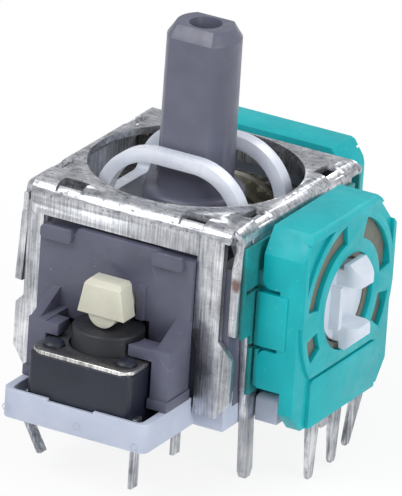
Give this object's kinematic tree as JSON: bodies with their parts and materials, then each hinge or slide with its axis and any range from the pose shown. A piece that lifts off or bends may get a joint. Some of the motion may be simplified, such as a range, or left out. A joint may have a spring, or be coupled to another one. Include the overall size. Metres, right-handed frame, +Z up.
{
  "type": "analog stick module",
  "caption": "Two-axis analog stick module with crossed gimbals, a teal rotary potentiometer on each axis, a push switch and a folded steel frame.",
  "frame": {"origin": "on the underside of the base, straight below the stick's pivot", "axes": "+X towards the right potentiometer, +Y towards the rear potentiometer, +Z up along the stick; the switch is on the -Y side"},
  "size_m": [0.0178, 0.023, 0.0232],
  "materials": {
    "steel": "satin",
    "pale_base": "matt",
    "dark_grey": "matt",
    "milky": "satin",
    "cream": "matt",
    "teal": "satin",
    "board": "matt",
    "rotor_white": "satin",
    "contact": "polished",
    "switch_black": "matt",
    "button_black": "matt"
  },
  "bodies": {
    "root": {"frame": "steel", "base": "pale_base", "inner_housing": "dark_grey", "right_pot_cover": "teal", "right_pot_board": "board", "right_pot_pins": "steel", "rear_pot_cover": "teal", "rear_pot_board": "board", "rear_pot_pins": "steel", "switch_body": "switch_black", "switch_cover": "steel", "switch_dome": "steel", "switch_pins": "steel"},
    "rear_rotor": {"rear_pot_rotor": "rotor_white", "rear_pot_wiper": "contact"},
    "lower_arm": {"lower_arm": "cream"},
    "stick": {"stick": "dark_grey", "pivot_pin": "steel"},
    "arch": {"upper_arch": "milky", "right_pot_rotor": "rotor_white", "right_pot_wiper": "contact"},
    "button": {"switch_button": "button_black"},
    "dish": {"return_dish": "rotor_white", "return_spring": "steel"}
  },
  "joints": [
    {"name": "roll", "type": "hinge", "parent": "root", "child": "rear_rotor", "pos_m": [0, 0, 0.0063], "axis": [0, 1, 0], "range_deg": [-18, 18], "stiffness_Nm_per_rad": 0.03},
    {"name": "press", "type": "hinge", "parent": "rear_rotor", "child": "lower_arm", "pos_m": [0, 0.00675, 0.0063], "axis": [1, 0, 0], "range_deg": [0, 0.93], "stiffness_Nm_per_rad": 0.3},
    {"name": "pitch", "type": "hinge", "parent": "lower_arm", "child": "stick", "pos_m": [0, 0, 0.0063], "axis": [1, 0, 0], "range_deg": [-18, 18], "stiffness_Nm_per_rad": 0.03},
    {"name": "arch_pitch", "type": "hinge", "parent": "root", "child": "arch", "pos_m": [0, 0, 0.0063], "axis": [1, 0, 0], "range_deg": [-18, 18]},
    {"name": "button_travel", "type": "slide", "parent": "root", "child": "button", "axis": [0, 0, -1], "range_m": [0, 0.00025]},
    {"name": "dish_lift", "type": "slide", "parent": "stick", "child": "dish", "axis": [0, 0, 1], "range_m": [0, 0.0005], "stiffness_N_per_m": 300, "deforming": ["return_spring"]}
  ],
  "couplings": [
    {"joint": "arch_pitch", "follows": "pitch", "ratio": 1},
    {"joint": "button_travel", "follows": "press", "m_per_rad": 0.0154}
  ]
}
